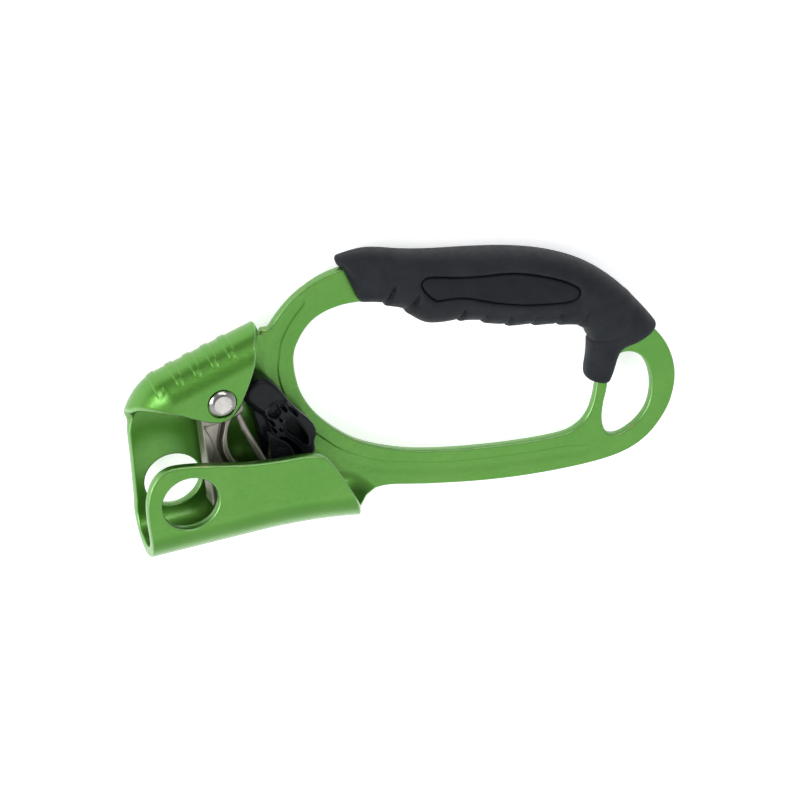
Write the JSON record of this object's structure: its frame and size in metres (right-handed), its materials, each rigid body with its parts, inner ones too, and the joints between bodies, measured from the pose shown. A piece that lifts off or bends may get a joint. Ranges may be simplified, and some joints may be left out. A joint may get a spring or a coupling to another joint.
{
  "type": "ascender",
  "caption": "Handled rope ascender with a bent aluminium frame, a spring-loaded toothed cam, a thumb safety catch and a rubber grip.",
  "frame": {"origin": "under the middle of the part, at the height of the grip's back face, with the part lying on its back", "axes": "+X along the rope channel from the head towards the handle's foot-loop eye, +Y across the plate from the rope channel to the grip, +Z along the cam's rivet from the plate towards the rivet's head"},
  "size_m": [0.1958, 0.0974, 0.034],
  "materials": {
    "anodised_frame": "bead-blasted satin, bright green anodised, worn bare at the edges",
    "bright_steel": "turned and polished",
    "spring_steel": "drawn wire",
    "cast_steel": "as cast and tumbled, plated warm grey",
    "black_plastic": "fine moulded texture with a slight sheen",
    "black_rubber": "matte moulded rubber"
  },
  "bodies": {
    "frame": {"frame": "anodised_frame", "pivot_rivet": "bright_steel", "cam_bush": "bright_steel", "front_washer": "bright_steel", "back_washer": "bright_steel", "cam_spring": "spring_steel", "grip_sleeve": "black_rubber", "grip_core_front": "black_plastic", "grip_core_back": "black_plastic"},
    "cam": {"cam": "cast_steel", "catch_pin": "black_plastic", "catch_spring": "spring_steel"},
    "catch": {"catch": "black_plastic"}
  },
  "joints": [
    {"name": "cam_pivot", "type": "hinge", "parent": "frame", "child": "cam", "pos_m": [-0.06597, 0.01376, 0.01873], "axis": [0, 0, 1], "range_deg": [0, 40], "stiffness_Nm_per_rad": 0.06, "springref_deg": -34.38, "deforming": ["cam_spring"]},
    {"name": "catch_pivot", "type": "hinge", "parent": "cam", "child": "catch", "pos_m": [-0.04697, -0.01094, 0.01873], "axis": [0, 0, -1], "range_deg": [0, 12], "stiffness_Nm_per_rad": 0.01, "springref_deg": -28.65, "deforming": ["catch_spring"]}
  ]
}
